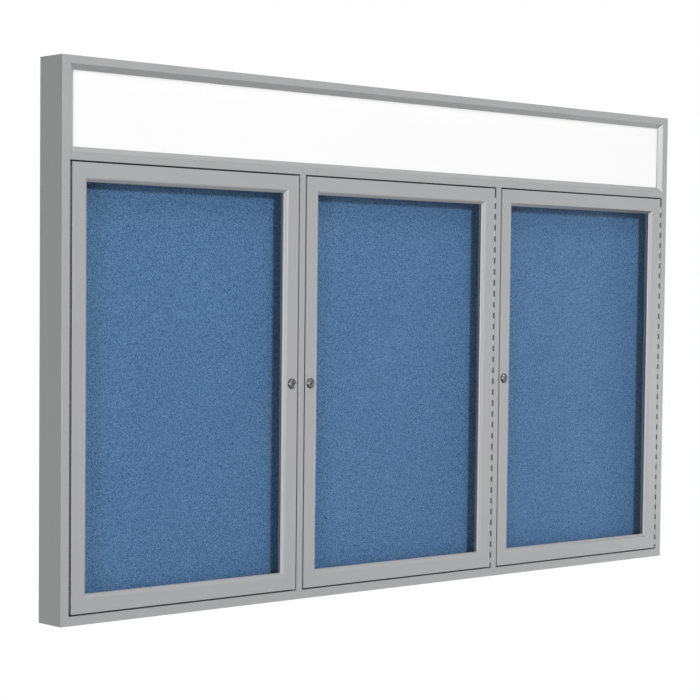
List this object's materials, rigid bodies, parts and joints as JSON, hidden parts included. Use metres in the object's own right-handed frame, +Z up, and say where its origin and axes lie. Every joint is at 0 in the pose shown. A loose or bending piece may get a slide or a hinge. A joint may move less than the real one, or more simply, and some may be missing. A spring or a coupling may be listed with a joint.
{
  "type": "lockable notice board",
  "caption": "Wall-hung enclosed notice board: shallow aluminium cabinet with lockable, side-hinged glazed doors over blue tack boards, and a bevelled header frame round a blank white panel.",
  "frame": {"origin": "middle of the back panel's rear face, half way along the width and the height", "axes": "+X to the right seen from the front, +Z up, +Y from the front of the board into the wall"},
  "size_m": [1.829, 0.0804, 1.106],
  "materials": {
    "frame_aluminium": "satin anodised extrusion, fine die lines along the length",
    "door_aluminium": "satin anodised extrusion, fine die lines along the length",
    "sheet_aluminium": "plain rolled mill finish",
    "steel": "zinc plated",
    "hinge_steel": "satin rolled",
    "lock_nickel": "satin nickel plate",
    "white_panel": "smooth white, low gloss",
    "fibreboard": "raw pressed fibre",
    "blue_vinyl": "matt, fine pebbled grain",
    "gasket_rubber": "matt extruded",
    "clear_pane": "clear, polished"
  },
  "bodies": {
    "cabinet": {"left_stile": "frame_aluminium", "right_stile": "frame_aluminium", "bottom_rail": "frame_aluminium", "head_rail": "frame_aluminium", "mullion_1": "frame_aluminium", "mullion_2": "frame_aluminium", "header_left_post": "frame_aluminium", "header_right_post": "frame_aluminium", "header_top_rail": "frame_aluminium", "header_sill": "frame_aluminium", "header_panel": "white_panel", "back_panel": "sheet_aluminium", "mounting_rail_upper": "sheet_aluminium", "mounting_rail_lower": "sheet_aluminium", "corner_bracket_1": "steel", "corner_bracket_2": "steel", "corner_bracket_3": "steel", "corner_bracket_4": "steel", "tack_core_1": "fibreboard", "tack_core_2": "fibreboard", "tack_core_3": "fibreboard", "tack_vinyl_1": "blue_vinyl", "tack_vinyl_2": "blue_vinyl", "tack_vinyl_3": "blue_vinyl", "hinge_1_cabinet_leaf": "hinge_steel", "hinge_2_cabinet_leaf": "hinge_steel", "hinge_3_cabinet_leaf": "hinge_steel", "hinge_1_pin": "hinge_steel", "hinge_2_pin": "hinge_steel", "hinge_3_pin": "hinge_steel"},
    "door_1": {"door_1_hinge_stile": "door_aluminium", "door_1_lock_stile": "door_aluminium", "door_1_top_rail": "door_aluminium", "door_1_bottom_rail": "door_aluminium", "door_1_glazing": "clear_pane", "door_1_gasket": "gasket_rubber", "hinge_1_door_leaf": "hinge_steel", "lock_1_body": "lock_nickel"},
    "door_2": {"door_2_hinge_stile": "door_aluminium", "door_2_lock_stile": "door_aluminium", "door_2_top_rail": "door_aluminium", "door_2_bottom_rail": "door_aluminium", "door_2_glazing": "clear_pane", "door_2_gasket": "gasket_rubber", "hinge_2_door_leaf": "hinge_steel", "lock_2_body": "lock_nickel"},
    "door_3": {"door_3_hinge_stile": "door_aluminium", "door_3_lock_stile": "door_aluminium", "door_3_top_rail": "door_aluminium", "door_3_bottom_rail": "door_aluminium", "door_3_glazing": "clear_pane", "door_3_gasket": "gasket_rubber", "hinge_3_door_leaf": "hinge_steel", "lock_3_body": "lock_nickel"},
    "lock_1": {"lock_1_plug": "lock_nickel", "lock_1_cam": "steel"},
    "lock_2": {"lock_2_plug": "lock_nickel", "lock_2_cam": "steel"},
    "lock_3": {"lock_3_plug": "lock_nickel", "lock_3_cam": "steel"}
  },
  "joints": [
    {"name": "door_1_hinge", "type": "hinge", "parent": "cabinet", "child": "door_1", "pos_m": [-0.893, -0.0744, -0.09075], "axis": [0, 0, -1], "range_deg": [0, 110]},
    {"name": "door_2_hinge", "type": "hinge", "parent": "cabinet", "child": "door_2", "pos_m": [0.29053, -0.0744, -0.09075], "axis": [0, 0, 1], "range_deg": [0, 110]},
    {"name": "door_3_hinge", "type": "hinge", "parent": "cabinet", "child": "door_3", "pos_m": [0.893, -0.0744, -0.09075], "axis": [0, 0, 1], "range_deg": [0, 110]},
    {"name": "lock_1_turn", "type": "hinge", "parent": "door_1", "child": "lock_1", "pos_m": [-0.32743, -0.0804, -0.09075], "axis": [0, -1, 0], "range_deg": [0, 90]},
    {"name": "lock_2_turn", "type": "hinge", "parent": "door_2", "child": "lock_2", "pos_m": [-0.27503, -0.0804, -0.09075], "axis": [0, 1, 0], "range_deg": [0, 90]},
    {"name": "lock_3_turn", "type": "hinge", "parent": "door_3", "child": "lock_3", "pos_m": [0.32743, -0.0804, -0.09075], "axis": [0, 1, 0], "range_deg": [0, 90]}
  ]
}
